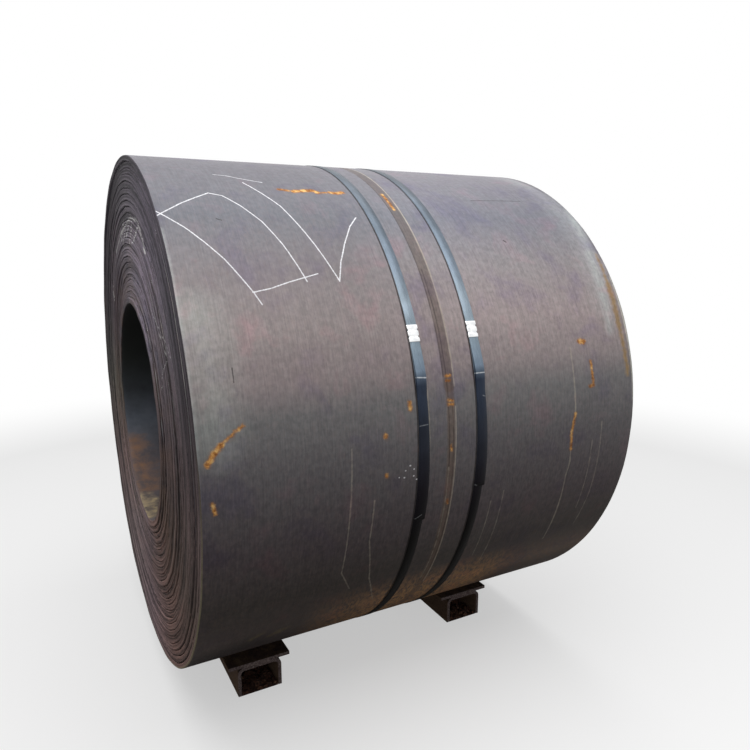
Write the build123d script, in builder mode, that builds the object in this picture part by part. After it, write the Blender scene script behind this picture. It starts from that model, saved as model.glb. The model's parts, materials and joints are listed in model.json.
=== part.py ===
from build123d import *
import os
from math import cos, degrees, pi, radians, sin

# A hot-rolled steel coil lying on two steel bearers, held shut by two steel straps.
# Millimetres, +Z up. X runs along the bore. The origin is on the floor, under the middle
# of the coil. The strap seals are on the -Y side.

# The coil: one strip wound on itself. Its bore is the drum that it was wound on.
strip_width = 1500.0
strip_thickness = 20.0
turn_count = 24
bore_diameter = 762.0

# The ends of the coil: each turn starts a little further in or out than the last one,
# and the whole end wanders. The outermost turn has its own place at each end.
turn_relief = 4.0
end_wander = 7.0
wander_cycles = 2.5
outer_turn_inset_left = 4.0
outer_turn_inset_right = 5.0

# The bearers: an inverted channel with rounded shoulders, under a wider top plate. Each
# lies across the coil, its middle inset from the end of the coil, and the right one is
# shifted along +Y.
bearer_length = 690.0
bearer_inset_left = 300.0
bearer_inset_right = 291.0
bearer_shift_right = 40.0
top_plate_width = 224.0
top_plate_thickness = 12.0
channel_width = 160.0
channel_height = 108.0
channel_wall = 12.0
channel_shoulder_radius = 26.0

# The straps: flat steel band, once round the coil, with its two ends lapped.
strap_width = 32.0
strap_thickness = 1.2
strap_x_left = -107.0
strap_x_right = 97.0
strap_clearance = 0.3
lap_top_angle = 25.5
tail_angle_left = -14.5
tail_angle_right = -9.4

# The seals: a folded steel sleeve, crimped over both layers of the strap.
seal_length = 50.0
seal_thickness = 1.5
seal_clearance = 0.3
seal_angle = 22.7
crimp_length = 5.0
crimp_depth = 4.5
crimp_spacing = 20.0

cut_overrun = 5.0

bore_radius = bore_diameter / 2
coil_radius = bore_radius + turn_count * strip_thickness
bearer_height = channel_height + top_plate_thickness
axis_height = bearer_height + coil_radius
half_width = strip_width / 2
bearer_x_left = bearer_inset_left - half_width
bearer_x_right = half_width - bearer_inset_right
coil_axis = Axis((0, 0, axis_height), (1, 0, 0))


def radial_plane(angle):
    """Plane through the coil's axis: its x is the axis and its y points outwards.

    The angle is in degrees above the horizontal, on the -Y side."""
    turn = radians(angle)
    return Plane(
        origin=(0, 0, axis_height),
        x_dir=(1, 0, 0),
        z_dir=(0, -sin(turn), -cos(turn)),
    )


def end_depth(boundary):
    """How far in from the end the joint between two turns lies, counted from the bore."""
    wander = end_wander * sin(pi * wander_cycles * boundary / turn_count) ** 2
    relief = turn_relief * (boundary % 2)
    return wander + relief


# Half of the coil's section, from the bore out along one end and back along the other.
left_end = []
right_end = []
for boundary in range(turn_count):
    radius = bore_radius + boundary * strip_thickness
    left_end.append((end_depth(boundary) - half_width, radius))
    right_end.append((half_width - end_depth(boundary), radius))

inner_radius_of_outer_turn = coil_radius - strip_thickness
outer_turn = [
    (outer_turn_inset_left - half_width, inner_radius_of_outer_turn),
    (outer_turn_inset_left - half_width, coil_radius),
    (half_width - outer_turn_inset_right, coil_radius),
    (half_width - outer_turn_inset_right, inner_radius_of_outer_turn),
]

with BuildPart() as coil:
    with BuildSketch(radial_plane(90)):
        with BuildLine():
            Polyline(*left_end, *outer_turn, *reversed(right_end), close=True)
        make_face()
    revolve(axis=coil_axis)


# A strap is a ring round the coil, plus the lapped end that lies on top of it.
lap_radius = coil_radius + strap_clearance + strap_thickness
strap_mid_radius = coil_radius + strap_clearance + strap_thickness / 2
lap_mid_radius = strap_mid_radius + strap_thickness


def make_strap(strap_x, tail_angle):
    with BuildPart() as strap:
        with BuildSketch(radial_plane(90)):
            with Locations((strap_x, strap_mid_radius)):
                Rectangle(strap_width, strap_thickness)
        revolve(axis=coil_axis)
        with BuildSketch(radial_plane(lap_top_angle)):
            with Locations((strap_x, lap_mid_radius)):
                Rectangle(strap_width, strap_thickness)
        revolve(axis=coil_axis, revolution_arc=lap_top_angle - tail_angle)
    return strap.part


# A seal is a sleeve with its two lips folded down over the strap's edges, and a pair of
# crimps bitten into each edge.
seal_inner_half = strap_width / 2 + seal_clearance
seal_outer_half = seal_inner_half + seal_thickness
seal_foot_radius = coil_radius + seal_clearance
seal_roof_radius = lap_radius + strap_thickness + seal_clearance
seal_top_radius = seal_roof_radius + seal_thickness
seal_arc = degrees(seal_length / seal_top_radius)
crimp_step = degrees(crimp_spacing / seal_top_radius)
crimp_angles = (seal_angle - crimp_step / 2, seal_angle + crimp_step / 2)
crimp_height = seal_top_radius - seal_foot_radius + 2 * cut_overrun


def make_seal(strap_x):
    with BuildPart() as seal:
        with BuildSketch(radial_plane(seal_angle + seal_arc / 2)):
            with BuildLine():
                Polyline(
                    (strap_x - seal_outer_half, seal_foot_radius),
                    (strap_x - seal_outer_half, seal_top_radius),
                    (strap_x + seal_outer_half, seal_top_radius),
                    (strap_x + seal_outer_half, seal_foot_radius),
                    (strap_x + seal_inner_half, seal_foot_radius),
                    (strap_x + seal_inner_half, seal_roof_radius),
                    (strap_x - seal_inner_half, seal_roof_radius),
                    (strap_x - seal_inner_half, seal_foot_radius),
                    close=True,
                )
            make_face()
        revolve(axis=coil_axis, revolution_arc=seal_arc)
        for angle in crimp_angles:
            with BuildSketch(radial_plane(angle)):
                for side in (-1, 1):
                    with Locations((strap_x + side * seal_outer_half, seal_roof_radius)):
                        Rectangle(2 * crimp_depth, crimp_height)
            extrude(amount=crimp_length / 2, both=True, mode=Mode.SUBTRACT)
    return seal.part


# A bearer's channel stands on the edges of its two legs, open side down.
def make_channel(bearer_x, bearer_y):
    inner_height = channel_height - channel_wall
    with BuildPart() as channel:
        with BuildSketch(Plane.XZ.offset(-bearer_y)) as section:
            with Locations((bearer_x, channel_height / 2)):
                Rectangle(channel_width, channel_height)
            shoulders = section.vertices().group_by(Axis.Y)[-1]
            fillet(shoulders, radius=channel_shoulder_radius)
            with Locations((bearer_x, inner_height / 2)):
                Rectangle(channel_width - 2 * channel_wall, inner_height, mode=Mode.SUBTRACT)
            inner_corners = section.vertices().filter_by_position(
                Axis.Y, inner_height, inner_height
            )
            fillet(inner_corners, radius=channel_shoulder_radius - channel_wall)
        extrude(amount=bearer_length / 2, both=True)
    return channel.part


def make_top_plate(bearer_x, bearer_y):
    with BuildPart() as plate:
        with BuildSketch(Plane.XY.offset(channel_height)):
            with Locations((bearer_x, bearer_y)):
                Rectangle(top_plate_width, bearer_length)
        extrude(amount=top_plate_thickness)
    return plate.part


pieces = {
    "coil": coil.part,
    "strap_left": make_strap(strap_x_left, tail_angle_left),
    "strap_right": make_strap(strap_x_right, tail_angle_right),
    "seal_left": make_seal(strap_x_left),
    "seal_right": make_seal(strap_x_right),
    "bearer_channel_left": make_channel(bearer_x_left, 0),
    "bearer_channel_right": make_channel(bearer_x_right, bearer_shift_right),
    "bearer_plate_left": make_top_plate(bearer_x_left, 0),
    "bearer_plate_right": make_top_plate(bearer_x_right, bearer_shift_right),
}

os.makedirs("parts", exist_ok=True)
for name, piece in pieces.items():
    piece.label = name
    export_step(piece, f"parts/{name}.step")
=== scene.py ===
import json
from math import cos, pi, radians, sin

import bpy
import numpy as np
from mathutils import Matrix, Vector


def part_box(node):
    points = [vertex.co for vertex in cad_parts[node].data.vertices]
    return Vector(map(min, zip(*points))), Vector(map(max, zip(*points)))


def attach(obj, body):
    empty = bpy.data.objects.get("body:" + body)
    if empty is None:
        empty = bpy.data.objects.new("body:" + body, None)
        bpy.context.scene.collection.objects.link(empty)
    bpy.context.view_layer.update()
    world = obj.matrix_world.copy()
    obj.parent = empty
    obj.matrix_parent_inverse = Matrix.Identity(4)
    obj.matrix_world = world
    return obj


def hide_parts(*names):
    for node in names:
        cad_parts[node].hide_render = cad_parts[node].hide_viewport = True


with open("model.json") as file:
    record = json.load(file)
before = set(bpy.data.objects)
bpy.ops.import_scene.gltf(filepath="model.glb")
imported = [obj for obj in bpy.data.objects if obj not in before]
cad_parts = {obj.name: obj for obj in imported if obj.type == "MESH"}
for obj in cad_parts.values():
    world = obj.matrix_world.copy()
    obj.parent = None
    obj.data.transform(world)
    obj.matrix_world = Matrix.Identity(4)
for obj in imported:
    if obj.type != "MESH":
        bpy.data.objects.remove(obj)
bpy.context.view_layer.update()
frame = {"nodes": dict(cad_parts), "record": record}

# The bearers
# Two short lengths of hot-rolled steel channel stand on the edges of their legs, and each
# carries a flat plate across its back. They are torch-cut offcuts that were never painted
# and have stood outside for years, so all of their skin is old rust.

bearer_nodes = (
    "bearer_channel_left",
    "bearer_channel_right",
    "bearer_plate_left",
    "bearer_plate_right",
)
channel_wall = 0.012
rust_patch = 0.045
rust_relief = 0.0012

# Real grit is about 1 mm across. It is drawn at 4 mm, so that it shows.
rust_grit = 0.004

# The Mix node keeps one set of sockets for each kind of data. These are its colour ones.
MIX_FACTOR, MIX_UNDER, MIX_OVER, MIX_RESULT = 0, 6, 7, 2


def linear(hex_colour):
    """The linear red, green, blue and alpha of an sRGB hex colour."""
    shares = [int(hex_colour[i:i + 2], 16) / 255 for i in (1, 3, 5)]
    return [s / 12.92 if s <= 0.04045 else ((s + 0.055) / 1.055) ** 2.4 for s in shares] + [1.0]


def add_node(tree, kind, feeds=None, stops=None, **settings):
    """Adds a node. feeds gives its sockets a value or the output that feeds them."""
    node = tree.nodes.new("ShaderNode" + kind)
    for name, value in settings.items():
        setattr(node, name, value)
    for socket, source in (feeds or {}).items():
        if isinstance(source, bpy.types.NodeSocket):
            tree.links.new(source, node.inputs[socket])
        else:
            node.inputs[socket].default_value = source
    if stops:
        elements = node.color_ramp.elements
        while len(elements) < len(stops):
            elements.new(0.5)
        for element, (position, hex_colour) in zip(elements, stops):
            element.position = position
            element.color = linear(hex_colour)
    return node


def new_material(name):
    material = bpy.data.materials.new(name)
    material.use_nodes = True
    material.node_tree.nodes.clear()
    return material, material.node_tree


def mottled(tree, colour, pattern, share, dark, pale):
    """The colour, darker where the pattern is low and paler where it is high."""
    tones = add_node(tree, "ValToRGB", {"Fac": pattern}, stops=[(0.36, dark), (0.64, pale)])
    return add_node(tree, "Mix", {
        MIX_FACTOR: share, MIX_UNDER: colour, MIX_OVER: tones.outputs["Color"],
    }, data_type="RGBA", blend_type="OVERLAY").outputs[MIX_RESULT]


def covered(tree, colour, share, mask, over):
    """The colour under another one, which covers it by that share where the mask is 1.
    Returns the result and the cover."""
    cover = add_node(tree, "Math", {0: mask, 1: share}, operation="MULTIPLY").outputs[0]
    mixed = add_node(tree, "Mix", {
        MIX_FACTOR: cover, MIX_UNDER: colour, MIX_OVER: over}, data_type="RGBA")
    return mixed.outputs[MIX_RESULT], cover


def weathered_rust():
    """Old rust on rolled steel: dark and crusted, redder in patches, with no gloss left.
    The cut ends rub against chains and boots, and are paler and greyer than the flanks."""
    material, tree = new_material("weathered_rust")
    place = add_node(tree, "TexCoord").outputs["Object"]
    patches = add_node(tree, "TexNoise", {
        "Vector": place, "Scale": 1 / rust_patch, "Detail": 6.0, "Roughness": 0.65})
    grit = add_node(tree, "TexNoise", {
        "Vector": place, "Scale": 1 / rust_grit, "Detail": 3.0, "Roughness": 0.6})
    crust = add_node(tree, "ValToRGB", {"Fac": patches.outputs["Fac"]}, stops=[
        (0.30, "#1d1514"), (0.47, "#372720"), (0.60, "#51402f"), (0.75, "#6a5a4a")])
    cut_steel = add_node(tree, "ValToRGB", {"Fac": grit.outputs["Fac"]}, stops=[
        (0.35, "#5c4c4a"), (0.65, "#8e8180")])
    facing = add_node(tree, "SeparateXYZ", {
        "Vector": add_node(tree, "NewGeometry").outputs["Normal"]})
    colour = crust.outputs["Color"]
    for direction, share, over in (
            ("X", 0.6, linear("#7b6452")), ("Y", 0.75, cut_steel.outputs["Color"])):
        steepness = add_node(tree, "Math", {0: facing.outputs[direction]}, operation="ABSOLUTE")
        square_on = add_node(tree, "MapRange", {
            "Value": steepness.outputs[0], "From Min": 0.8, "From Max": 0.95})
        colour, _ = covered(tree, colour, share, square_on.outputs[0], over)
    speckled = mottled(tree, colour, grit.outputs["Fac"], 0.55, "#565656", "#c8c8c8")
    relief = add_node(tree, "Bump", {
        "Height": grit.outputs["Fac"], "Distance": rust_relief, "Strength": 0.8})
    coarse_relief = add_node(tree, "Bump", {
        "Height": patches.outputs["Fac"], "Distance": 5 * rust_relief, "Strength": 0.6,
        "Normal": relief.outputs["Normal"]})
    surface = add_node(tree, "BsdfPrincipled", {
        "Base Color": speckled, "Roughness": 0.88, "Metallic": 0.0,
        "Specular IOR Level": 0.25, "Normal": coarse_relief.outputs["Normal"]})
    add_node(tree, "OutputMaterial", {"Surface": surface.outputs["BSDF"]})
    return material


bearer_skin = weathered_rust()
for node in bearer_nodes:
    bearer = frame["nodes"][node]
    bearer.data.materials.clear()
    bearer.data.materials.append(bearer_skin)


# The flake beds
# Rust flakes and dirt drop off the bearers and gather on the ground between their legs.
# They lie there as one thin, uneven bed in each bearer.

flake_bed_cell = 0.005
flake_bed_height = 0.014
flake_wave_count = 40
shortest_flake_wave = 0.014
longest_flake_wave = 0.070
flake_seed = 3
flake_size = 0.007
flake_relief = 0.002
flake_dirt = 0.0167

# These three are shares of the bed's full height.
mean_flake_depth = 0.45
least_flake_depth = 0.08
flake_wave_height = 0.09


def add_object(name, data):
    added = bpy.data.objects.new(name, data)
    bpy.context.scene.collection.objects.link(added)
    return added


def lay_flakes(name, node, seed):
    low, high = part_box(node)
    x, y = (
        np.linspace(start, end, round((end - start) / flake_bed_cell) + 1)
        for start, end in ((low.x + channel_wall, high.x - channel_wall), (low.y, high.y)))
    across, along = np.meshgrid(x, y, indexing="ij")
    chance = np.random.default_rng(seed)
    heights = np.full(across.shape, mean_flake_depth)
    for _ in range(flake_wave_count):
        wave = chance.uniform(shortest_flake_wave, longest_flake_wave)
        heading, phase = chance.uniform(0, 2 * pi, 2)
        heights += flake_wave_height * np.cos(
            2 * pi * (across * cos(heading) + along * sin(heading)) / wave + phase)
    heights = flake_bed_height * np.clip(heights, least_flake_depth, 1)
    heights[[0, -1], :] = 0
    heights[:, [0, -1]] = 0

    rows, columns = across.shape
    index = np.arange(rows * columns).reshape(rows, columns)
    quads = np.stack(
        (index[:-1, :-1], index[1:, :-1], index[1:, 1:], index[:-1, 1:]), axis=-1)
    rim = np.concatenate(
        (index[0, :-1], index[:-1, -1], index[-1, :0:-1], index[:0:-1, 0])).tolist()
    mesh = bpy.data.meshes.new(name)
    mesh.from_pydata(
        np.stack((across, along, heights), axis=-1).reshape(-1, 3).tolist(), [],
        quads.reshape(-1, 4).tolist() + [rim])
    bed = add_object(name, mesh)
    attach(bed, "root")
    return bed


def flaked_rust():
    """Loose rust flakes in dry dirt: matt, dark red-brown, each flake a little different."""
    material, tree = new_material("flaked_rust")
    place = add_node(tree, "TexCoord").outputs["Object"]
    flakes = add_node(tree, "TexVoronoi", {"Vector": place, "Scale": 1 / flake_size})
    dirt = add_node(tree, "TexNoise", {
        "Vector": place, "Scale": 1 / flake_dirt, "Detail": 5.0, "Roughness": 0.65})
    flake_tone = add_node(tree, "SeparateColor", {"Color": flakes.outputs["Color"]})
    tone = add_node(tree, "ValToRGB", {"Fac": flake_tone.outputs["Red"]}, stops=[
        (0.0, "#271b19"), (0.5, "#432e27"), (0.85, "#5c3f32"), (1.0, "#7f6251")])
    dirty = mottled(tree, tone.outputs["Color"], dirt.outputs["Fac"], 0.6, "#484848", "#b8b0a8")
    relief = add_node(tree, "Bump", {
        "Height": flakes.outputs["Distance"], "Distance": flake_relief, "Strength": 0.7})
    surface = add_node(tree, "BsdfPrincipled", {
        "Base Color": dirty, "Roughness": 0.92, "Specular IOR Level": 0.2,
        "Normal": relief.outputs["Normal"]})
    add_node(tree, "OutputMaterial", {"Surface": surface.outputs["BSDF"]})
    return material


flake_skin = flaked_rust()
for seed, side in enumerate(("left", "right"), start=flake_seed):
    bed = lay_flakes(f"flake_bed_{side}", f"bearer_channel_{side}", seed)
    bed.data.materials.append(flake_skin)


# The coil
# One hot-rolled strip of mild steel, wound warm on a drum that was then drawn out of the
# bore. It is held by nothing but its own set and the straps. Its mill edges were squeezed
# by the rolls and never trimmed, and it wandered a few millimetres sideways when wound.

bore_mount = next(m for m in frame["record"]["mounts"] if m["name"] == "bore")
axis_height = bore_mount["pos_m"][2]
bore_radius = bore_mount["dims"]["r_mm"] / 1000
coil_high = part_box("coil")[1]
half_width = coil_high.x
coil_radius = coil_high.z - axis_height

turn_count = 24
turn_pitch = (coil_radius - bore_radius) / turn_count
turn_gap = 0.0014
mill_edge_radius = 0.0034
deepest_edge_hollow = 0.0032
edge_support = 0.015

# Angles are in degrees above the horizontal on the -Y side, and grow over the top. The
# turns are drawn as closed rings. Only the outermost shows the strip's end, as a low ledge
# a little below the axis on the +Y side. Sections stand close together there.
angle_step = 2.5
tail_angle = 200
sections_at_tail = (-0.4, 0.05, 0.5)
ledge_angle = tail_angle + 0.02
ledge_depth = 0.003
ledge_run = 40

end_wander = 0.007
wander_cycles = 2.5
turn_scatter = 0.0026
outer_inset_left = 0.0006
outer_inset_right = 0.005
winding_seed = 7

# The outermost turn has slipped inwards a little at its left edge, low on the -Y side.
# The slip starts where the cosine of the angle from its deepest place is slip_start.
slip_depth = 0.007
slip_angle = -50
slip_start = 0.2

# The edge of a turn is wavy, and so is the seam between two turns: (waves in one turn,
# height).
edge_waves = ((3, 0.0010), (7, 0.0009), (17, 0.0008), (31, 0.0006))
seam_waves = ((5, 0.0006), (13, 0.0007), (29, 0.0008), (47, 0.0006))
seam_scatter = 0.0015


def smooth(share):
    share = np.clip(share, 0, 1)
    return share * share * (3 - 2 * share)


def on_coil(x, angle, radius):
    """The points at those places along the axis, angles in degrees and radii."""
    turn = np.radians(angle)
    return np.stack(np.broadcast_arrays(
        x, -radius * np.cos(turn), axis_height + radius * np.sin(turn)), axis=-1)


def strip_section(left, right, inner, outer, hollow):
    """Points round the strip as (x, radius): down its right edge and up its left one. Each
    edge has a rounded lip at both faces and a hollow between them."""
    lips = [(outer - mill_edge_radius, bend) for bend in (90, 60, 30, 0, -30)]
    lips += [(None, None)]
    lips += [(inner + mill_edge_radius, bend) for bend in (30, 0, -30, -60, -90)]
    edges = []
    for edge, side in ((right, 1), (left, -1)):
        down = []
        for centre, bend in lips:
            if centre is None:
                down.append((edge - side * hollow, (inner + outer) / 2))
            else:
                inward = mill_edge_radius * (1 - cos(radians(bend)))
                down.append((edge - side * inward,
                             centre + mill_edge_radius * sin(radians(bend))))
        edges.append(down)
    inner_face = [(right - edge_support, inner), (left + edge_support, inner)]
    outer_face = [(left + edge_support, outer), (right - edge_support, outer)]
    points = edges[0] + inner_face + edges[1][::-1] + outer_face
    rows_x = np.stack([np.broadcast_to(x, left.shape) for x, _ in points], axis=1)
    rows_radius = np.stack([np.broadcast_to(r, left.shape) for _, r in points], axis=1)
    return rows_x, rows_radius


def skinned(name, tubes, closed, face_material=None):
    """A piece skinned over tubes: tubes[k][i] is one section of tube k, joined to
    tubes[k][i + 1]. The last section of a closed tube joins its first one."""
    index = np.arange(tubes[..., 0].size).reshape(tubes.shape[:3])
    beside = np.roll(index, -1, axis=2)
    quads = np.stack(
        (index, beside, np.roll(beside, -1, axis=1), np.roll(index, -1, axis=1)), axis=-1)
    caps = []
    if not closed:
        quads = quads[:, :-1]
        caps = [first[::-1].tolist() for first in index[:, 0]]
        caps += [last.tolist() for last in index[:, -1]]
    quads = quads.reshape(-1, 4).tolist()
    mesh = bpy.data.meshes.new(name)
    mesh.from_pydata(tubes.reshape(-1, 3).tolist(), [], quads + caps)
    mesh.polygons.foreach_set("use_smooth", [True] * len(quads) + [False] * len(caps))
    if face_material is not None:
        mesh.polygons.foreach_set("material_index", face_material.reshape(-1).tolist())
    mesh.update()
    return add_object(name, mesh)


def wind_strip():
    angle = np.sort(np.concatenate((
        np.arange(0, 360, angle_step), tail_angle + np.array(sections_at_tail))))
    past_tail = (angle - ledge_angle) % 360
    ledge = ledge_depth * (1 - smooth(past_tail / ledge_run))
    slipped = smooth((np.cos(np.radians(angle - slip_angle)) - slip_start) / (1 - slip_start))

    chance = np.random.default_rng(winding_seed)
    seams = [bore_radius - turn_gap]
    for turn in range(1, turn_count):
        seam = bore_radius + turn_pitch * turn + seam_scatter * chance.uniform(-1, 1)
        for waves, height in seam_waves:
            seam = seam + height * np.cos(waves * np.radians(angle) + chance.uniform(0, 2 * pi))
        seams.append(seam)
    seams.append(coil_radius - ledge)

    turns = []
    for turn in range(turn_count):
        outermost = turn == turn_count - 1
        inner, outer = seams[turn] + turn_gap, seams[turn + 1]
        drift = end_wander * sin(pi * wander_cycles * (turn + 0.5) / turn_count) ** 2
        ends = []
        for outer_inset, slip in ((outer_inset_left, slip_depth), (outer_inset_right, 0)):
            inset = drift + turn_scatter * chance.uniform(0.1, 1)
            if turn == 0:
                inset = 0
            if outermost:
                inset = outer_inset + slip * slipped
            for waves, height in edge_waves:
                phase = chance.uniform(0, 2 * pi)
                inset = inset + height * (1 + np.cos(waves * np.radians(angle) + phase)) / 2
            ends.append(inset)
        hollow = deepest_edge_hollow * chance.uniform(0.2, 1)
        section_x, section_radius = strip_section(
            ends[0] - half_width, half_width - ends[1], inner, outer, hollow)
        turns.append(on_coil(section_x, angle[:, None], section_radius))

    # Of the strip's 26 sides, 10 make up each edge. The inside of the first turn is the bore.
    sides = np.array([1] * 10 + [0] * 3 + [1] * 10 + [0] * 3)
    face_material = np.tile(sides, (turn_count, len(angle), 1))
    face_material[0, :, 10:13] = 2
    return skinned("wound_strip", np.array(turns), True, face_material)


def coil_place(tree):
    """Where a point is on the coil: along the axis, its turn about it in radians, the arc
    from the horizontal at full radius, its radius, and its height over the full radius."""
    place = add_node(tree, "TexCoord").outputs["Object"]
    centred = add_node(tree, "Mapping", {"Vector": place, "Location": (0, 0, -axis_height)})
    parts = add_node(tree, "SeparateXYZ", {"Vector": centred.outputs[0]})
    forward = add_node(tree, "Math", {0: parts.outputs["Y"], 1: -1.0}, operation="MULTIPLY")
    turn = add_node(tree, "Math", {
        0: parts.outputs["Z"], 1: forward.outputs[0]}, operation="ARCTAN2")
    arc = add_node(tree, "Math", {0: turn.outputs[0], 1: coil_radius}, operation="MULTIPLY")
    flat = add_node(tree, "CombineXYZ", {"Y": forward.outputs[0], "Z": parts.outputs["Z"]})
    radius = add_node(tree, "VectorMath", {0: flat.outputs[0]}, operation="LENGTH")
    height = add_node(tree, "Math", {0: parts.outputs["Z"], 1: coil_radius}, operation="DIVIDE")
    unrolled = add_node(tree, "CombineXYZ", {"X": parts.outputs["X"], "Y": arc.outputs[0]})
    return {
        "centred": centred.outputs[0],
        "x": parts.outputs["X"],
        "turn": turn.outputs[0],
        "flat": flat.outputs[0],
        "unrolled": unrolled.outputs[0],
        "radius": radius.outputs["Value"],
        "height": height.outputs[0],
    }


def by_height(tree, place, tones):
    """A colour that changes with height, given as (angle in degrees, colour)."""
    share = add_node(tree, "MapRange", {
        "Value": place["height"], "From Min": -1.0, "From Max": 1.0})
    stops = [((sin(radians(angle)) + 1) / 2, tone) for angle, tone in tones]
    return add_node(tree, "ValToRGB", {"Fac": share.outputs[0]}, stops=stops).outputs["Color"]


def by_turn(tree, place, tones):
    """A colour that changes round the coil, given as (angle in degrees, colour)."""
    share = add_node(tree, "MapRange", {
        "Value": place["turn"], "From Min": -pi, "From Max": pi})
    stops = [((angle + 180) / 360, tone) for angle, tone in tones]
    return add_node(tree, "ValToRGB", {"Fac": share.outputs[0]}, stops=stops).outputs["Color"]


def on_strip(x_mm, angle):
    return (x_mm / 1000, coil_radius * radians(angle), 0.0)


def on_end(radius_mm, angle):
    return (0.0, radius_mm / 1000 * cos(radians(angle)), radius_mm / 1000 * sin(radians(angle)))


def drawn_out(tree, place, width, length, detail, roughness, distortion=0.0):
    """Noise drawn out round the coil, in cells of that width along the axis and length."""
    cells = add_node(tree, "Mapping", {
        "Vector": place["centred"], "Scale": (1 / width, 1 / length, 1 / length)})
    return add_node(tree, "TexNoise", {
        "Vector": cells.outputs[0], "Detail": detail, "Roughness": roughness,
        "Distortion": distortion})


def line_mask(tree, place, spot, lines, wobble, wobble_size, softness):
    """1 on drawn lines and 0 away from them. Each line is its half width in millimetres and
    its points, which spot turns into places. Its edge wobbles in and out."""
    noise = add_node(tree, "TexNoise", {
        "Vector": place, "Scale": 1 / wobble_size, "Detail": 4.0, "Roughness": 0.6})
    nearest = None
    for half_line, points in lines:
        for start, end in zip(points, points[1:]):
            foot = np.array(spot(*start))
            reach = np.array(spot(*end)) - foot
            from_foot = add_node(tree, "VectorMath", {
                0: place, 1: tuple(foot)}, operation="SUBTRACT")
            along = add_node(tree, "VectorMath", {
                0: from_foot.outputs["Vector"], 1: tuple(reach / (reach @ reach))},
                operation="DOT_PRODUCT")
            held = add_node(tree, "Clamp", {"Value": along.outputs["Value"]})
            foot_of_normal = add_node(tree, "VectorMath", {
                0: tuple(reach), "Scale": held.outputs[0]}, operation="SCALE")
            away = add_node(tree, "VectorMath", {
                0: from_foot.outputs["Vector"], 1: foot_of_normal.outputs["Vector"]},
                operation="DISTANCE")
            beyond = add_node(tree, "Math", {
                0: away.outputs["Value"], 1: half_line / 1000}, operation="SUBTRACT")
            nearest = beyond if nearest is None else add_node(tree, "Math", {
                0: nearest.outputs[0], 1: beyond.outputs[0]}, operation="MINIMUM")
    sway = add_node(tree, "Math", {
        0: noise.outputs["Fac"], 1: 2 * wobble, 2: -wobble}, operation="MULTIPLY_ADD")
    edge = add_node(tree, "Math", {0: nearest.outputs[0], 1: sway.outputs[0]}, operation="ADD")
    mask = add_node(tree, "MapRange", {
        "Value": edge.outputs[0], "From Min": softness, "From Max": -softness})
    return mask.outputs[0]


# The scale's tone is partly painted shade and highlight, and partly dirt: it falls from a lit,
# clean and dry top, with a painted highlight band a little above the middle, to a shaded, damp
# and dirty underside. The left half's tones are darker than the right one's. Each row has an
# angle, the left tone and the right one.
scale_tones_and_shade = [
    (-60, "#2f282a", "#302a2b"), (-40, "#574d4d", "#625858"), (-27, "#484242", "#4f4949"),
    (-15, "#564e54", "#5c545a"), (0, "#646066", "#666268"), (10, "#747176", "#7a777c"),
    (16, "#8f8388", "#998d92"), (25, "#91868a", "#a7999e"), (36, "#797278", "#978f96"),
    (50, "#656570", "#7a7a88"), (90, "#75727d", "#817d89"),
]
scale_streak_width = 0.016
scale_streak_length = 0.6
scale_cloud_width = 0.035
scale_cloud_length = 0.10
scale_speck = 0.016
scale_bloom = 0.16

# The real grain is well under 1 mm. It is drawn at 3 mm, so that it shows.
scale_grain = 0.003
grain_relief = 0.0003
cloud_relief = 0.0012

# The left half's tones pass into the right half's between these places along the axis, in
# metres.
left_half_ends, right_half_starts = -0.24, 0.12

# Lines on the outer face. Each is its half width in millimetres and its points, as (x in
# millimetres, angle in degrees).
chalk_lines = [
    (1.6, [(-746, 49.3), (-667, 53.4), (-586, 56.9), (-549, 56.1), (-510, 52.9), (-466, 48.2),
           (-430, 42.3), (-405, 37.0), (-392, 34.0)]),
    (1.6, [(-746, 50.6), (-727, 49.4), (-682, 46.3), (-642, 42.8), (-602, 39.0), (-568, 34.8),
           (-547, 32.2), (-531, 29.8)]),
    (1.5, [(-549, 32.2), (-496, 32.9), (-445, 34.0), (-355, 35.6)]),
    (1.1, [(-540, 65.4), (-505, 65.1), (-464, 63.8), (-403, 62.3)]),
    (1.7, [(-465, 61.9), (-426, 57.4), (-391, 53.2), (-359, 47.0), (-331, 41.3), (-296, 33.9),
           (-275, 38.0), (-241, 42.6), (-200, 47.2), (-165, 49.9)]),
]
fresh_rust_lines = [
    (5, [(-364, 59.4), (-337, 59.1)]),
    (8, [(-320, 58.8), (-285, 59.3), (-256, 59.5), (-241, 58.7)]),
    (4, [(-225, 58.8), (-214, 58.8)]),
    (7, [(-199, 58.9), (-174, 58.7), (-156, 59.2)]),
    (7, [(-719, 4.0), (-703, 5.6), (-682, 7.0)]),
    (3, [(-682, 7.0), (-646, 8.8), (-625, 9.6)]),
    (4, [(-712, -2.7), (-706, -4.4)]),
    (5, [(-148, 9.9), (-147, 8.6)]),
    (5, [(-230, 4.4), (-229, 4.1)]),
    (4, [(-227, -3.2), (-226, -3.6)]),
    (4, [(475, 2.8), (462, -1.2), (466, -5.2)]),
    (8, [(514, 18.3), (534, 18.1)]),
    (4, [(552, 13.7), (556, 8.4), (540, 8.3)]),
    (4, [(-14, 59), (-12, 53)]),
    (3, [(-20, 14.0), (-6, 14.0)]),
    (3, [(-19, 13.1), (-7, 13.1)]),
    (3, [(-18, 9.3), (-3, 9.2)]),
    (3, [(-17, 8.5), (-3, 8.4)]),
    (2, [(-13, 0.4), (-10, -0.6)]),
    (2, [(-11, -11.2), (-9, -12)]),
]
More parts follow.
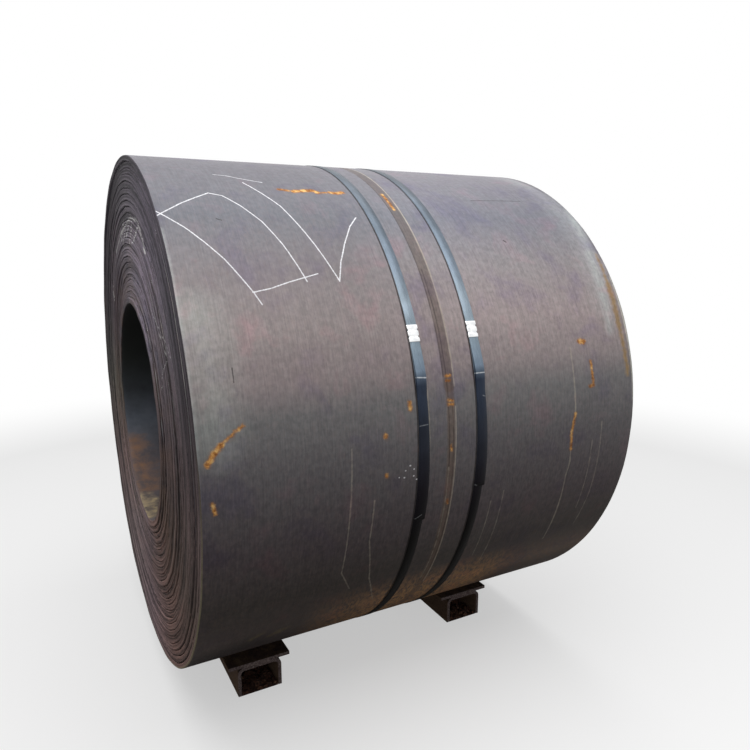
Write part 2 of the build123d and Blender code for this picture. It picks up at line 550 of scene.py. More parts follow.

# Painted shade darkens the underside in broad patches. There are two stains, and water has left
# thin pale runs down the face.
low_shade_lines = [
    (75, [(-730, -51), (-560, -46)]), (90, [(440, -50), (700, -47)])]
low_stain_lines = [(7, [(-562, -42), (-538, -40)]), (11, [(-500, -43), (-464, -41)])]
pale_run_lines = [
    (2.2, [(470, 17), (475, 2.8), (460, -1.2), (466, -5.4), (470, -8.3), (464, -11.6),
           (468, -16.6), (472, -21.8), (478, -31.1)]),
    (1.4, [(-88, 15), (-87, 2), (-88, -14)]),
    (1.0, [(-18, -4), (-17, -20), (-19, -34)]),
    (1.2, [(-261, -8), (-262, -17), (-230, -28), (-176, -38)]),
    (1.2, [(-334, 2.8), (-335, -11), (-334, -24), (-290, -30)]),
    (0.9, [(560, -4), (566, -22)]),
    (0.9, [(596, 0), (604, -18), (598, -28)]),
    (0.9, [(160, -14), (163, -30)]),
    (0.9, [(205, -12), (212, -33)]),
]

# Specks of spilt chalk beside the left strap, and dark nicks where the scale is knocked off.
white_specks = [
    (half_speck, [(x, angle), (x + 1, angle)]) for half_speck, x, angle in (
        (2.2, -151, -2.2), (1.8, -138, -3.0), (1.8, -166, -3.05), (1.8, -138, -4.4),
        (1.8, -169, -4.4), (1.6, -128, -5.2), (1.4, -186, -4.2))
]
dark_nicks = [
    (3.0, [(344, 43.4), (349, 43.0)]),
    (1.8, [(-592, 48.8), (-579, 48.4)]),
    (1.4, [(-636, 19.2), (-636, 16.8)]),
    (1.6, [(329, 57.8), (470, 58.2), (552, 58.3)]),
]

# A strap that was taken off again left a matt brown print round the middle.
print_upper = [(17.5, [(-12.5, 179), (-12.5, 12)])]
print_lower = [(14.0, [(-12, 12), (-11, -10), (-10, -30), (-4, -45), (-12, -179)])]
print_edge_lines = [(2.2, [(7, 179), (6, 12)]), (1.5, [(5, 8), (3, -14), (3, -36)])]
print_dark_lines = [
    (1.8, [(-29, 70), (-29, 14)]),
    (1.4, [(-19, 36), (-19, 10)]),
    (1.8, [(-19, 8), (-17, -14), (-19, -36)]),
    (1.0, [(-5, 8), (-3, -14), (-4, -36)]),
]

# A painted shadow runs beside the straps' left edges. The strip's right margin has rust and pale
# patches, a band of painted shade near the top, a painted highlight along its rim and a broad
# painted sheen beside them. The left margin has a broad pale band and a painted highlight along
# its rim.
strap_shadow_lines = [
    (2.0, [(-125.5, 180), (-125.5, -180)]), (2.0, [(78.5, 180), (78.5, -180)])]
edge_rust_lines = [
    (5, [(724, 39), (716, 31)]), (11, [(716, 31), (709, 21)]), (8, [(709, 21), (718, 10)])]
edge_shade_lines = [
    (12, [(728, 84), (737, 64)]), (8, [(737, 64), (749, 54), (741, 38)]),
    (1.6, [(733, 34), (729, 24), (732, 8)])]
edge_pale_lines = [(14, [(740, 54), (699, 40), (676, 32)]), (10, [(676, 32), (662, 20)])]
right_sheen_lines = [(38, [(700, 76), (694, 45), (680, 27)])]
right_rim_highlight_lines = [(4, [(741, 33), (738, 22), (741, 4)])]
left_pale_lines = [(50, [(-700, 28), (-690, 17), (-690, 8)])]
left_rim_highlight_lines = [(4, [(-744, 46), (-742, 20), (-744, -2)])]


def mill_scale():
    """Hot-rolled steel under its own mill scale, a thin blue-grey oxide. It is smooth enough
    for a broad sheen but never mirrors, is streaked the way the strip was rolled, and
    carries a haze of light rust, chalk lines and rust runs."""
    material, tree = new_material("mill_scale")
    place = coil_place(tree)
    # The tone by height is partly painted shade and highlight: lit above, shaded below.
    left_tone, right_tone = (
        by_height(tree, place, [(row[0], row[side]) for row in scale_tones_and_shade]) for side in (1, 2))
    rightward = add_node(tree, "MapRange", {
        "Value": place["x"], "From Min": left_half_ends, "From Max": right_half_starts})
    tone, _ = covered(tree, left_tone, 1.0, rightward.outputs[0], right_tone)
    streaks = drawn_out(tree, place, scale_streak_width, scale_streak_length, 3.0, 0.55)
    clouds = drawn_out(tree, place, scale_cloud_width, scale_cloud_length, 5.0, 0.58, 0.4)
    specks = add_node(tree, "TexNoise", {
        "Vector": place["centred"], "Scale": 1 / scale_speck, "Detail": 3.0, "Roughness": 0.6})
    bloom = add_node(tree, "TexNoise", {
        "Vector": place["centred"], "Scale": 1 / scale_bloom, "Detail": 5.0,
        "Roughness": 0.6, "Distortion": 0.3})
    grain = add_node(tree, "TexNoise", {
        "Vector": place["centred"], "Scale": 1 / scale_grain, "Detail": 2.0})

    # Water stands along the underside, so orange rust has spread there in patches. It starts
    # some way in from the left end and is weaker again towards the right one.
    underside = add_node(tree, "MapRange", {
        "Value": place["height"], "From Min": -0.50, "From Max": -0.64})
    wet_patches = add_node(tree, "MapRange", {
        "Value": clouds.outputs["Fac"], "From Min": 0.36, "From Max": 0.58})
    past_left_end = add_node(tree, "MapRange", {
        "Value": place["x"], "From Min": -0.42, "From Max": -0.12, "To Max": 0.95})
    short_of_right_end = add_node(tree, "MapRange", {
        "Value": place["x"], "From Min": 0.26, "From Max": 0.44, "To Min": 1.0, "To Max": 0.25})
    low_rust = underside.outputs[0]
    for part in (wet_patches, short_of_right_end):
        low_rust = add_node(tree, "Math", {
            0: low_rust, 1: part.outputs[0]}, operation="MULTIPLY").outputs[0]
    colour, _ = covered(tree, tone, past_left_end.outputs[0], low_rust, linear("#bb8f67"))

    # Each row: the lines, their colour, how much it covers, how far their edges wobble, the
    # size of a wobble and how softly the edges fade, the last three in metres.
    marks = (
        (print_upper, "#544339", 0.55, 0.004, 0.03, 0.004),
        (print_lower, "#6d5b52", 0.60, 0.004, 0.03, 0.004),
        (print_dark_lines, "#1f1a18", 0.50, 0.001, 0.02, 0.0012),
        (print_edge_lines, "#bcb0a6", 0.60, 0.0014, 0.02, 0.0016),
        # Some rows are painted light and shade: the shadow by the straps, the shade, sheen and
        # rim highlight by the right edge, the rim highlight by the left edge, and the shade low
        # down.
        (strap_shadow_lines, "#100f0f", 0.85, 0.0008, 0.05, 0.0012),
        (right_sheen_lines, "#b9bac1", 0.36, 0.030, 0.10, 0.050),
        (edge_shade_lines, "#4a4650", 0.50, 0.006, 0.05, 0.008),
        (edge_pale_lines, "#c2c6cb", 0.58, 0.014, 0.05, 0.018),
        (edge_rust_lines, "#9f8058", 0.82, 0.012, 0.018, 0.006),
        (right_rim_highlight_lines, "#cfccc6", 0.70, 0.003, 0.03, 0.003),
        (left_pale_lines, "#b1b6b6", 0.34, 0.040, 0.10, 0.050),
        (left_rim_highlight_lines, "#c2c8cc", 0.22, 0.004, 0.08, 0.004),
        (pale_run_lines, "#b4aaa0", 0.52, 0.0036, 0.022, 0.0020),
        (low_shade_lines, "#1c151a", 0.55, 0.030, 0.08, 0.060),
        (low_stain_lines, "#7d7152", 0.50, 0.022, 0.024, 0.010),
        (dark_nicks, "#1c1a1b", 0.75, 0.0016, 0.008, 0.0010),
    )
    for lines, mark_tone, share, wobble, wobble_size, softness in marks:
        mask = line_mask(tree, place["unrolled"], on_strip, lines, wobble, wobble_size, softness)
        colour, _ = covered(tree, colour, share, mask, linear(mark_tone))

    for pattern, share in ((streaks, 0.14), (clouds, 0.22), (specks, 0.16), (bloom, 0.14)):
        colour = mottled(tree, colour, pattern.outputs["Fac"], share, "#7a7a7a", "#e4e4e4")

    # The oxide's hue shifts a little from patch to patch, under a thin haze of brown rust.
    tint = add_node(tree, "ValToRGB", {"Fac": bloom.outputs["Fac"]}, stops=[
        (0.32, "#e9e8f0"), (0.46, "#f4f5ee"), (0.56, "#edf1e9"), (0.70, "#faebe7")])
    colour = add_node(tree, "Mix", {
        MIX_FACTOR: 1.0, MIX_UNDER: colour, MIX_OVER: tint.outputs["Color"],
    }, data_type="RGBA", blend_type="MULTIPLY").outputs[MIX_RESULT]
    brown_haze = add_node(tree, "MapRange", {
        "Value": clouds.outputs["Fac"], "From Min": 0.48, "From Max": 0.74})
    colour, _ = covered(tree, colour, 0.22, brown_haze.outputs[0], linear("#655247"))

    halo = line_mask(tree, place["unrolled"], on_strip, fresh_rust_lines, 0.010, 0.02, 0.008)
    colour, _ = covered(tree, colour, 0.50, halo, linear("#7a5a3c"))
    rust_mask = line_mask(tree, place["unrolled"], on_strip, fresh_rust_lines,
                          0.008, 0.009, 0.0035)
    rust_tone = add_node(tree, "ValToRGB", {"Fac": specks.outputs["Fac"]}, stops=[
        (0.36, "#8a5528"), (0.50, "#c58a48"), (0.64, "#e8bd78")])
    colour, rust_share = covered(tree, colour, 0.9, rust_mask, rust_tone.outputs["Color"])
    chalk_mask = line_mask(tree, place["unrolled"], on_strip, chalk_lines + white_specks,
                           0.0014, 0.010, 0.0009)
    chalk_break = add_node(tree, "MapRange", {
        "Value": grain.outputs["Fac"], "From Min": 0.30, "From Max": 0.55, "To Min": 0.45})
    colour, chalk_share = covered(tree, colour, chalk_break.outputs[0], chalk_mask,
                                  linear("#ececf0"))

    roughness = add_node(tree, "MapRange", {
        "Value": clouds.outputs["Fac"], "From Min": 0.3, "From Max": 0.7,
        "To Min": 0.42, "To Max": 0.58})
    powder = add_node(tree, "Math", {0: chalk_share, 1: rust_share}, operation="MAXIMUM")
    rough_powder = add_node(tree, "Math", {
        0: powder.outputs[0], 1: 0.4, 2: roughness.outputs[0]}, operation="MULTIPLY_ADD")
    metal_share = add_node(tree, "MapRange", {
        "Value": powder.outputs[0], "To Min": 0.3, "To Max": 0.0})
    relief = add_node(tree, "Bump", {
        "Height": grain.outputs["Fac"], "Distance": grain_relief, "Strength": 0.5})
    rolled = add_node(tree, "Bump", {
        "Height": clouds.outputs["Fac"], "Distance": cloud_relief, "Strength": 0.4,
        "Normal": relief.outputs["Normal"]})
    surface = add_node(tree, "BsdfPrincipled", {
        "Base Color": colour, "Metallic": metal_share.outputs[0],
        "Roughness": rough_powder.outputs[0], "Specular IOR Level": 0.2,
        "Normal": rolled.outputs["Normal"]})
    add_node(tree, "OutputMaterial", {"Surface": surface.outputs["BSDF"]})
    return material


edge_ring_width = 0.0075
edge_ring_length = 1.2
edge_wobble = 0.028
edge_wobble_strength = 1.8
edge_patch = 0.111
edge_relief = 0.0015

# Radii between which dirt takes over towards the outer turns, warm rust towards the bore, and a
# painted highlight on the outermost lip.
grime_radii = (0.66, 0.76)
warm_radii = (0.72, 0.42)
lip_radii = (coil_radius - 0.0075, coil_radius - 0.004)

# The edges' tone round the end is partly a painted sheen along the ridges, pale over the top and
# underneath and darker at the sides, and partly brown dust on the -Y side.
edge_tones_and_sheen = [
    (-180, "#7a7770"), (-150, "#a28e8e"), (-120, "#9c8e91"), (-90, "#8c7b81"), (-60, "#947872"),
    (-30, "#746661"), (0, "#736669"), (30, "#888390"), (60, "#9b93a7"), (90, "#948e9c"),
    (120, "#726974"), (150, "#6c646e"), (180, "#7a7770"),
]

# Lines on the left end, as (radius in millimetres, angle in degrees).
end_chalk_lines = [
    (1.2, [(595, 53.0), (591, 49.7), (589, 38.4), (625, 26.4)]),
    (1.2, [(619, 25.6), (545, 24.0), (468, 20.8)]),
    (1.1, [(533, 49.4), (600, 36.0), (665, 24.9)]),
]
rubbed_chalk_lines = [
    (5.5, [(565, 140), (632, 137), (632, 119), (637, 101), (664, 86), (681, 74), (657, 66),
           (640, 60)]),
    (4.5, [(602, 103), (668, 98)]),
    (4.0, [(576, 97), (654, 93)]),
    (4.5, [(604, 91), (678, 84)]),
    (4.0, [(582, 83), (660, 82)]),
    (4.5, [(596, 78), (684, 71)]),
]


def rusted_mill_edge():
    """The strip's own edge, squeezed by the rolls and first to rust: a dull brown-grey that
    differs a little from turn to turn, with warm rust near the bore and chalk rubbed on it."""
    material, tree = new_material("rusted_mill_edge")
    place = coil_place(tree)
    ring_place = add_node(tree, "CombineXYZ", {"X": add_node(tree, "Math", {
        0: place["radius"], 1: 1 / edge_ring_width}, operation="MULTIPLY").outputs[0]})
    slow_place = add_node(tree, "VectorMath", {
        0: place["centred"], "Scale": 1 / edge_ring_length}, operation="SCALE")
    wobble = add_node(tree, "TexNoise", {
        "Vector": place["centred"], "Scale": 1 / edge_wobble, "Detail": 3.0})
    wobbly_place = add_node(tree, "VectorMath", {
        0: wobble.outputs["Color"], 1: (edge_wobble_strength, 0, 0),
        2: slow_place.outputs["Vector"]}, operation="MULTIPLY_ADD")
    rings = add_node(tree, "TexNoise", {
        "Vector": add_node(tree, "VectorMath", {
            0: ring_place.outputs[0], 1: wobbly_place.outputs["Vector"]},
            operation="ADD").outputs["Vector"],
        "Scale": 1.0, "Detail": 3.0, "Roughness": 0.55})
    patches = add_node(tree, "TexNoise", {
        "Vector": place["centred"], "Scale": 1 / edge_patch, "Detail": 6.0,
        "Roughness": 0.65})
    grit = add_node(tree, "TexNoise", {
        "Vector": place["centred"], "Scale": 1 / scale_grain, "Detail": 2.0})
    # The tone round the end is partly a painted sheen.
    colour = by_turn(tree, place, edge_tones_and_sheen)
    colour = mottled(tree, colour, rings.outputs["Fac"], 0.85, "#1e1e1e", "#dad6d4")
    colour = mottled(tree, colour, patches.outputs["Fac"], 0.35, "#505050", "#b0aaa4")

    # Dirt has darkened the outer turns, on the upper half and on the +Y side.
    outer_zone = add_node(tree, "MapRange", {
        "Value": place["radius"], "From Min": grime_radii[0], "From Max": grime_radii[1]})
    upper_half = add_node(tree, "MapRange", {
        "Value": place["height"], "From Min": -0.25, "From Max": 0.2, "To Max": 0.58})
    forward = add_node(tree, "SeparateXYZ", {"Vector": place["flat"]})
    far_side = add_node(tree, "MapRange", {
        "Value": forward.outputs["Y"], "From Min": -0.25, "From Max": -0.6, "To Max": 0.45})
    worst = add_node(tree, "Math", {
        0: upper_half.outputs[0], 1: far_side.outputs[0]}, operation="MAXIMUM")
    grimy = add_node(tree, "Math", {
        0: outer_zone.outputs[0], 1: worst.outputs[0]}, operation="MULTIPLY")
    colour, _ = covered(tree, colour, 1.0, grimy.outputs[0], linear("#2f2d31"))
    near_bore = add_node(tree, "MapRange", {
        "Value": place["radius"], "From Min": warm_radii[0], "From Max": warm_radii[1]})
    patchy = add_node(tree, "MapRange", {
        "Value": patches.outputs["Fac"], "From Min": 0.40, "From Max": 0.62})
    warmth = add_node(tree, "Math", {
        0: near_bore.outputs[0], 1: patchy.outputs[0]}, operation="MULTIPLY")
    colour, _ = covered(tree, colour, 0.40, warmth.outputs[0], linear("#6b5344"))

    # A painted highlight lies on the lip of the outermost turn, low down.
    at_lip = add_node(tree, "MapRange", {
        "Value": place["radius"], "From Min": lip_radii[0], "From Max": lip_radii[1]})
    low_front = add_node(tree, "MapRange", {
        "Value": place["height"], "From Min": 0.15, "From Max": -0.35})
    lip_highlight_share = add_node(tree, "Math", {
        0: at_lip.outputs[0], 1: low_front.outputs[0]}, operation="MULTIPLY")
    colour, _ = covered(tree, colour, 0.55, lip_highlight_share.outputs[0], linear("#8f8b6e"))

    # Rubbed chalk takes on the ridges only, and drawn lines everywhere.
    left_only = add_node(tree, "Math", {0: place["x"], 1: 0.0}, operation="LESS_THAN")
    on_ridges = add_node(tree, "MapRange", {
        "Value": rings.outputs["Fac"], "From Min": 0.41, "From Max": 0.48, "To Min": 0.25})
    ridge_share = add_node(tree, "Math", {
        0: on_ridges.outputs[0], 1: left_only.outputs[0]}, operation="MULTIPLY")
    for lines, held, share, wobble, softness in (
            (rubbed_chalk_lines, ridge_share, 0.95, 0.006, 0.003),
            (end_chalk_lines, left_only, 0.60, 0.0012, 0.0014)):
        mask = line_mask(tree, place["flat"], on_end, lines, wobble, 0.02, softness)
        held_mask = add_node(tree, "Math", {0: mask, 1: held.outputs[0]}, operation="MULTIPLY")
        colour, _ = covered(tree, colour, share, held_mask.outputs[0], linear("#d4d2d2"))
    colour = mottled(tree, colour, grit.outputs["Fac"], 0.35, "#5e5e5e", "#aaaaaa")
    relief = add_node(tree, "Bump", {
        "Height": rings.outputs["Fac"], "Distance": edge_relief, "Strength": 0.6})
    surface = add_node(tree, "BsdfPrincipled", {
        "Base Color": colour, "Metallic": 0.0, "Roughness": 0.72,
        "Specular IOR Level": 0.15, "Normal": relief.outputs["Normal"]})
    add_node(tree, "OutputMaterial", {"Surface": surface.outputs["BSDF"]})
    return material


# Stains just inside the ends of the bore: on the left along the bottom and low on the +Y
# side, and on the right along the bottom.
bore_stain = 0.0714
bore_rust_lines = [
    (28, [(-732, -150), (-722, -140), (-714, -128), (-712, -115)]),
    (22, [(730, -130), (722, -100), (734, -70)])]
bore_lime_lines = [
    (24, [(-736, -110), (-740, -84)]), (24, [(-700, -104), (-716, -86)])]


def bore_scale():
    """The same scale inside the bore: nearly black towards the top and paler towards the bottom,
    with rust and lime stains near the ends, where blown rain stands."""
    material, tree = new_material("bore_scale")
    place = coil_place(tree)
    bore_height = add_node(tree, "MapRange", {
        "Value": place["height"], "From Min": -bore_radius / coil_radius,
        "From Max": bore_radius / coil_radius})
    tone = add_node(tree, "ValToRGB", {"Fac": bore_height.outputs[0]}, stops=[
        (0.0, "#5f5658"), (0.16, "#5a5459"), (0.34, "#5f6570"), (0.50, "#35393f"),
        (0.68, "#1f2422"), (1.0, "#131514")])
    stain = add_node(tree, "TexNoise", {
        "Vector": place["centred"], "Scale": 1 / bore_stain, "Detail": 7.0,
        "Roughness": 0.65})
    patchy = add_node(tree, "MapRange", {
        "Value": stain.outputs["Fac"], "From Min": 0.40, "From Max": 0.56, "To Min": 0.15})
    colour = tone.outputs["Color"]
    for lines, stain_tone, share, softness in (
            (bore_rust_lines, "#96683f", 0.75, 0.045), (bore_lime_lines, "#c0ab84", 0.80, 0.030)):
        mask = line_mask(tree, place["unrolled"], on_strip, lines, 0.060, 0.06, softness)
        patchy_mask = add_node(tree, "Math", {0: mask, 1: patchy.outputs[0]},
                               operation="MULTIPLY")
        colour, _ = covered(tree, colour, share, patchy_mask.outputs[0], linear(stain_tone))
    colour = mottled(tree, colour, stain.outputs["Fac"], 0.4, "#4a4a4a", "#b4b4b4")
    surface = add_node(tree, "BsdfPrincipled", {
        "Base Color": colour, "Metallic": 0.2, "Roughness": 0.62})
    add_node(tree, "OutputMaterial", {"Surface": surface.outputs["BSDF"]})
    return material


coil = wind_strip()
for finish in (mill_scale(), rusted_mill_edge(), bore_scale()):
    coil.data.materials.append(finish)
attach(coil, "root")
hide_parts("coil")


# The straps
# Two flat bands of blued, waxed steel strapping, 32 mm wide, pulled tight round the coil on
# the spot. The band's end is lapped over its start, springs clear of it just below the
# seal, and is left as a loose tail lower down.

strap_thickness = 0.0011
strap_clearance = 0.0002
strap_corner = 0.3 * strap_thickness
under_end_angle = 27.0
seal_foot_angle = 21.0
crease_angle = 14.2
crease_lift = 0.0075
relaxed_angle = 10.5
tail_sway = 0.007
strap_step = 1.0

# Degrees from the band's start at which it climbs onto itself, and how long that takes.
lap_start = 358
lap_climb = 2


def make_strap(name, node, strap_tail_angle):
    low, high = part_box(node)
    middle = (low.x + high.x) / 2
    half_strap = (high.x - low.x) / 2
    run = under_end_angle + 360 - strap_tail_angle
    passed = np.linspace(0, run, int(run / strap_step) + 1)
    angle = under_end_angle - passed
    over_lap = smooth((passed - lap_start) / lap_climb)
    seal_foot = under_end_angle + 360 - seal_foot_angle
    crease = under_end_angle + 360 - crease_angle
    relaxed = under_end_angle + 360 - relaxed_angle
    lift = crease_lift * np.interp(passed, [seal_foot, crease, relaxed], [0, 1, 0])
    lift[passed < seal_foot] = 0
    sway = tail_sway * smooth((passed - crease) / (run - crease))
    under = coil_radius + strap_clearance + strap_thickness * over_lap + lift
    section = [
        (-half_strap, 0.25), (-half_strap, 0.75), (strap_corner - half_strap, 1.0),
        (half_strap - strap_corner, 1.0), (half_strap, 0.75), (half_strap, 0.25),
        (half_strap - strap_corner, 0.0), (strap_corner - half_strap, 0.0),
    ]
    across, up = np.array(section).T
    x = middle + sway[:, None] + across
    radius = under[:, None] + strap_thickness * up
    strap = skinned(name, on_coil(x, angle[:, None], radius)[None], False)
    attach(strap, "root")
    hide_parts(node)
    return strap


# A painted highlight runs along each crease, and the wax has cracked to bare metal at a few
# knocks lower down.
crease_highlight_lines = [(1.3, [(-121, 14.3), (-92, 14.1)]), (1.3, [(83, 13.9), (112, 13.9)])]
knock_lines = [
    (1.0, [(-120, 5.2), (-93, 5.3)]), (1.0, [(104, 9.4), (112, 9.2)]),
    (1.2, [(-118, -14.0), (-98, -13.3)]), (1.6, [(85, -9.0), (91, -9.2)])]

scuff_width = 0.00385
scuff_length = 0.111
strap_cloud = 0.0833

# The band's tone round the coil is a painted reflection: pale sky from the crease up over the
# seal, and dark ground below, nearly black.
strap_reflection_tones = [
    (-180, "#14191f"), (-130, "#060607"), (-45, "#0a0909"), (-19, "#060607"), (-8, "#1e1a23"),
    (4, "#282e3b"), (13.9, "#374358"), (14.4, "#899cb1"), (22, "#9cadb9"), (28, "#a6b5c1"),
    (36, "#8694a3"), (50, "#66727f"), (90, "#555d66"), (140, "#57636c"), (180, "#14191f"),
]


def blued_strapping():
    """Cold-rolled strap, blued by heat and waxed: nearly black with a steel-blue sheen. Its tone
    round the coil is a painted reflection, pale from the crease up over the seal and dark below."""
    material, tree = new_material("blued_strapping")
    place = coil_place(tree)
    scuffs = drawn_out(tree, place, scuff_width, scuff_length, 4.0, 0.6)
    cloud = add_node(tree, "TexNoise", {
        "Vector": place["centred"], "Scale": 1 / strap_cloud, "Detail": 4.0})
    # The tone round the coil is a painted reflection of sky above and dark ground below.
    colour = by_turn(tree, place, strap_reflection_tones)
    colour = mottled(tree, colour, scuffs.outputs["Fac"], 0.4, "#464646", "#bababa")
    colour = mottled(tree, colour, cloud.outputs["Fac"], 0.35, "#525252", "#b0b0b0")
    # The crease lines are painted highlights. The knock lines are bare metal.
    for lines, share in ((crease_highlight_lines, 0.70), (knock_lines, 0.22)):
        bare = line_mask(tree, place["unrolled"], on_strip, lines, 0.0012, 0.01, 0.0012)
        colour, _ = covered(tree, colour, share, bare, linear("#dfe4e8"))
    roughness = add_node(tree, "MapRange", {
        "Value": scuffs.outputs["Fac"], "From Min": 0.3, "From Max": 0.7,
        "To Min": 0.30, "To Max": 0.46})
    surface = add_node(tree, "BsdfPrincipled", {
        "Base Color": colour, "Metallic": 0.45, "Roughness": roughness.outputs[0],
        "Specular IOR Level": 0.2})
    add_node(tree, "OutputMaterial", {"Surface": surface.outputs["BSDF"]})
    return material


strap_skin = blued_strapping()
straps = {
    "left": make_strap("lapped_strap_left", "strap_left", -14.5),
    "right": make_strap("lapped_strap_right", "strap_right", -9.4),
}
for strap in straps.values():
    strap.data.materials.append(strap_skin)


# The seals
# Each strap's lap is held by one open seal: a short piece of zinc-plated sheet, folded over
# both layers from the front and bitten at its two edges by the jaws of the sealing tool.

seal_sheet = 0.0015
seal_play = 0.0003
seal_middle_angle = 22.7
seal_half_length = 0.025
seal_step_count = 40
seal_bend = 0.0012
seal_crown = 0.0002
seal_crown_start = 0.006
seal_edge_round = 0.0009
seal_edge_start = 0.93
zinc_cloud = 0.0111

# A crimp bites in from the side by crimp_depth and sinks the sheet by a share of its height,
# out to crimp_reach from the seal's side.
crimp_spread = 0.020
crimp_half_length = 0.0032
crimp_depth = 0.0027
crimp_sink = 0.35
crimp_reach = 0.009
crimp_fade = 0.008


def make_seal(name, node):
    low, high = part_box(node)
    strap_low, strap_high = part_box(node.replace("seal", "strap"))
    middle = (low.x + high.x) / 2
    half_strap = (strap_high.x - strap_low.x) / 2
    inner_half = half_strap + seal_play
    outer_half = inner_half + seal_sheet
    foot = coil_radius + strap_clearance
    roof = foot + 2 * strap_thickness + seal_play
    top = roof + seal_sheet
    along = np.linspace(-seal_half_length, seal_half_length, seal_step_count + 1)
    bite = np.exp(-((np.abs(along) - crimp_spread / 2) / crimp_half_length) ** 4)
    near_end = (np.abs(along) / seal_half_length - seal_edge_start) / (1 - seal_edge_start)
    round_end = seal_edge_round * smooth(near_end)
    right_side = [
        (outer_half, foot), (outer_half, top - seal_bend),
        (outer_half - seal_bend / 3, top - seal_bend / 3), (outer_half - seal_bend, top),
        (outer_half - seal_crown_start, top + seal_crown / 2),
    ]
    left_side = [(-x, radius) for x, radius in reversed(right_side)]
    inside = [(-inner_half, foot), (-inner_half, roof), (inner_half, roof), (inner_half, foot)]
    section = right_side + [(0.0, top + seal_crown)] + left_side + inside
    x, radius = np.array(section).T[:, None]
    at_edge = smooth((np.abs(x) - (outer_half - crimp_reach)) / crimp_fade)
    pinched = x - np.sign(x) * crimp_depth * bite[:, None] * at_edge
    sunk = radius - (radius - foot) * crimp_sink * bite[:, None] * at_edge
    sunk = np.maximum(sunk - round_end[:, None], foot)
    angle = seal_middle_angle + np.degrees(along / coil_radius)
    seal = skinned(name, on_coil(middle + pinched, angle[::-1, None], sunk)[None], False)
    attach(seal, "root")
    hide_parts(node)
    return seal


def bright_zinc():
    """Zinc-plated sheet, still new: white and bright, faintly clouded, softly reflecting."""
    material, tree = new_material("bright_zinc")
    place = add_node(tree, "TexCoord").outputs["Object"]
    cloud = add_node(tree, "TexNoise", {
        "Vector": place, "Scale": 1 / zinc_cloud, "Detail": 4.0})
    tone = add_node(tree, "ValToRGB", {"Fac": cloud.outputs["Fac"]}, stops=[
        (0.3, "#e2e4e6"), (0.7, "#fbfbfa")])
    roughness = add_node(tree, "MapRange", {
        "Value": cloud.outputs["Fac"], "From Min": 0.3, "From Max": 0.7,
        "To Min": 0.30, "To Max": 0.45})
    surface = add_node(tree, "BsdfPrincipled", {
        "Base Color": tone.outputs["Color"], "Metallic": 1.0,
        "Roughness": roughness.outputs[0]})
    add_node(tree, "OutputMaterial", {"Surface": surface.outputs["BSDF"]})
    return material


seal_skin = bright_zinc()
for side in ("left", "right"):
    seal = make_seal(f"crimped_seal_{side}", f"seal_{side}")
    seal.data.materials.append(seal_skin)


# The floor, the light and the camera
# A plain pale floor that fades to white far off, an overcast sky and one broad soft lamp
# overhead. None of it belongs to the coil.

floor_half = 30.0
fade_start = 1.6
fade_end = 5.0
near_white = 0.5


def light_path(tree):
    """The light path, and 1 where the camera looks, straight or by way of metal or glass."""
    ray = add_node(tree, "LightPath")
    seen = add_node(tree, "Math", {
        0: ray.outputs["Is Camera Ray"], 1: ray.outputs["Is Glossy Ray"]}, operation="MAXIMUM")
    seen_through = add_node(tree, "Math", {
        0: seen.outputs[0], 1: ray.outputs["Is Transmission Ray"]}, operation="MAXIMUM")
    return ray, seen_through.outputs[0]


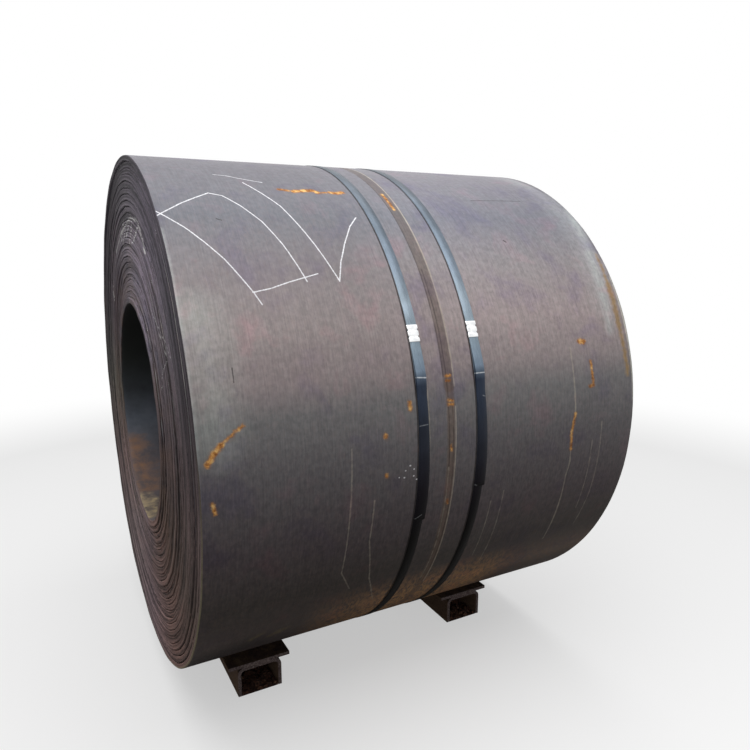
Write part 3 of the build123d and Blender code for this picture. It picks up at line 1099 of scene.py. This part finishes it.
def pale_floor():
    """Smooth pale concrete, matt, that turns to plain white away from the object. The light
    that it throws back up is that of an ordinary grey yard."""
    material, tree = new_material("pale_floor")
    place = add_node(tree, "TexCoord").outputs["Object"]
    away = add_node(tree, "VectorMath", {0: place}, operation="LENGTH")
    ray, seen = light_path(tree)
    fade = add_node(tree, "MapRange", {
        "Value": away.outputs["Value"], "From Min": fade_start, "From Max": fade_end},
        interpolation_type="SMOOTHSTEP")
    far_white = add_node(tree, "Math", {
        0: fade.outputs[0], 1: seen}, operation="MULTIPLY")
    lifted = add_node(tree, "Math", {
        0: ray.outputs["Is Camera Ray"], 1: near_white}, operation="MULTIPLY")
    white_share = add_node(tree, "Math", {
        0: far_white.outputs[0], 1: lifted.outputs[0]}, operation="MAXIMUM")
    tone = add_node(tree, "Mix", {
        MIX_FACTOR: ray.outputs["Is Camera Ray"], MIX_UNDER: linear("#8f8d8b"),
        MIX_OVER: linear("#f0f0f0")}, data_type="RGBA")
    matt = add_node(tree, "BsdfDiffuse", {"Color": tone.outputs[MIX_RESULT]})
    white = add_node(tree, "Emission", {"Color": linear("#ffffff"), "Strength": 1.0})
    floor_mix = add_node(tree, "MixShader", {
        0: white_share.outputs[0], 1: matt.outputs["BSDF"], 2: white.outputs["Emission"]})
    add_node(tree, "OutputMaterial", {"Surface": floor_mix.outputs["Shader"]})
    return material


floor_mesh = bpy.data.meshes.new("floor")
floor_mesh.from_pydata(
    [(-floor_half, -floor_half, 0), (floor_half, -floor_half, 0),
     (floor_half, floor_half, 0), (-floor_half, floor_half, 0)],
    [], [(0, 1, 2, 3)])
floor_mesh.materials.append(pale_floor())
floor = add_object("floor", floor_mesh)

sky_light = 0.42
lamp_power = 210.0
lamp_size = 5.0
lamp_place = (-0.6, -1.2, 4.6)

world = bpy.data.worlds.new("overcast")
world.use_nodes = True
bpy.context.scene.world = world
sky = world.node_tree
sky.nodes.clear()
_, sky_seen = light_path(sky)
sky_strength = add_node(sky, "MapRange", {
    "Value": sky_seen, "To Min": sky_light, "To Max": 1.0})
sky_surface = add_node(sky, "Background", {
    "Color": linear("#ffffff"), "Strength": sky_strength.outputs[0]})
add_node(sky, "OutputWorld", {"Surface": sky_surface.outputs["Background"]})

lamp_data = bpy.data.lights.new("soft_lamp", "AREA")
lamp_data.shape = "SQUARE"
lamp_data.size = lamp_size
lamp_data.energy = lamp_power
lamp = add_object("soft_lamp", lamp_data)
lamp.location = lamp_place

camera_place = (-1.0764, -2.3709, 1.5611)
camera_pitch = 11.256
camera_yaw = 28.273
camera_lens = 31.54

camera_data = bpy.data.cameras.new("camera")
camera_data.sensor_width = 36.0
camera_data.lens = camera_lens
camera = add_object("camera", camera_data)
camera.location = camera_place
camera.rotation_euler = (radians(90 - camera_pitch), 0, -radians(camera_yaw))
bpy.context.scene.camera = camera
bpy.context.scene.view_settings.view_transform = "Standard"
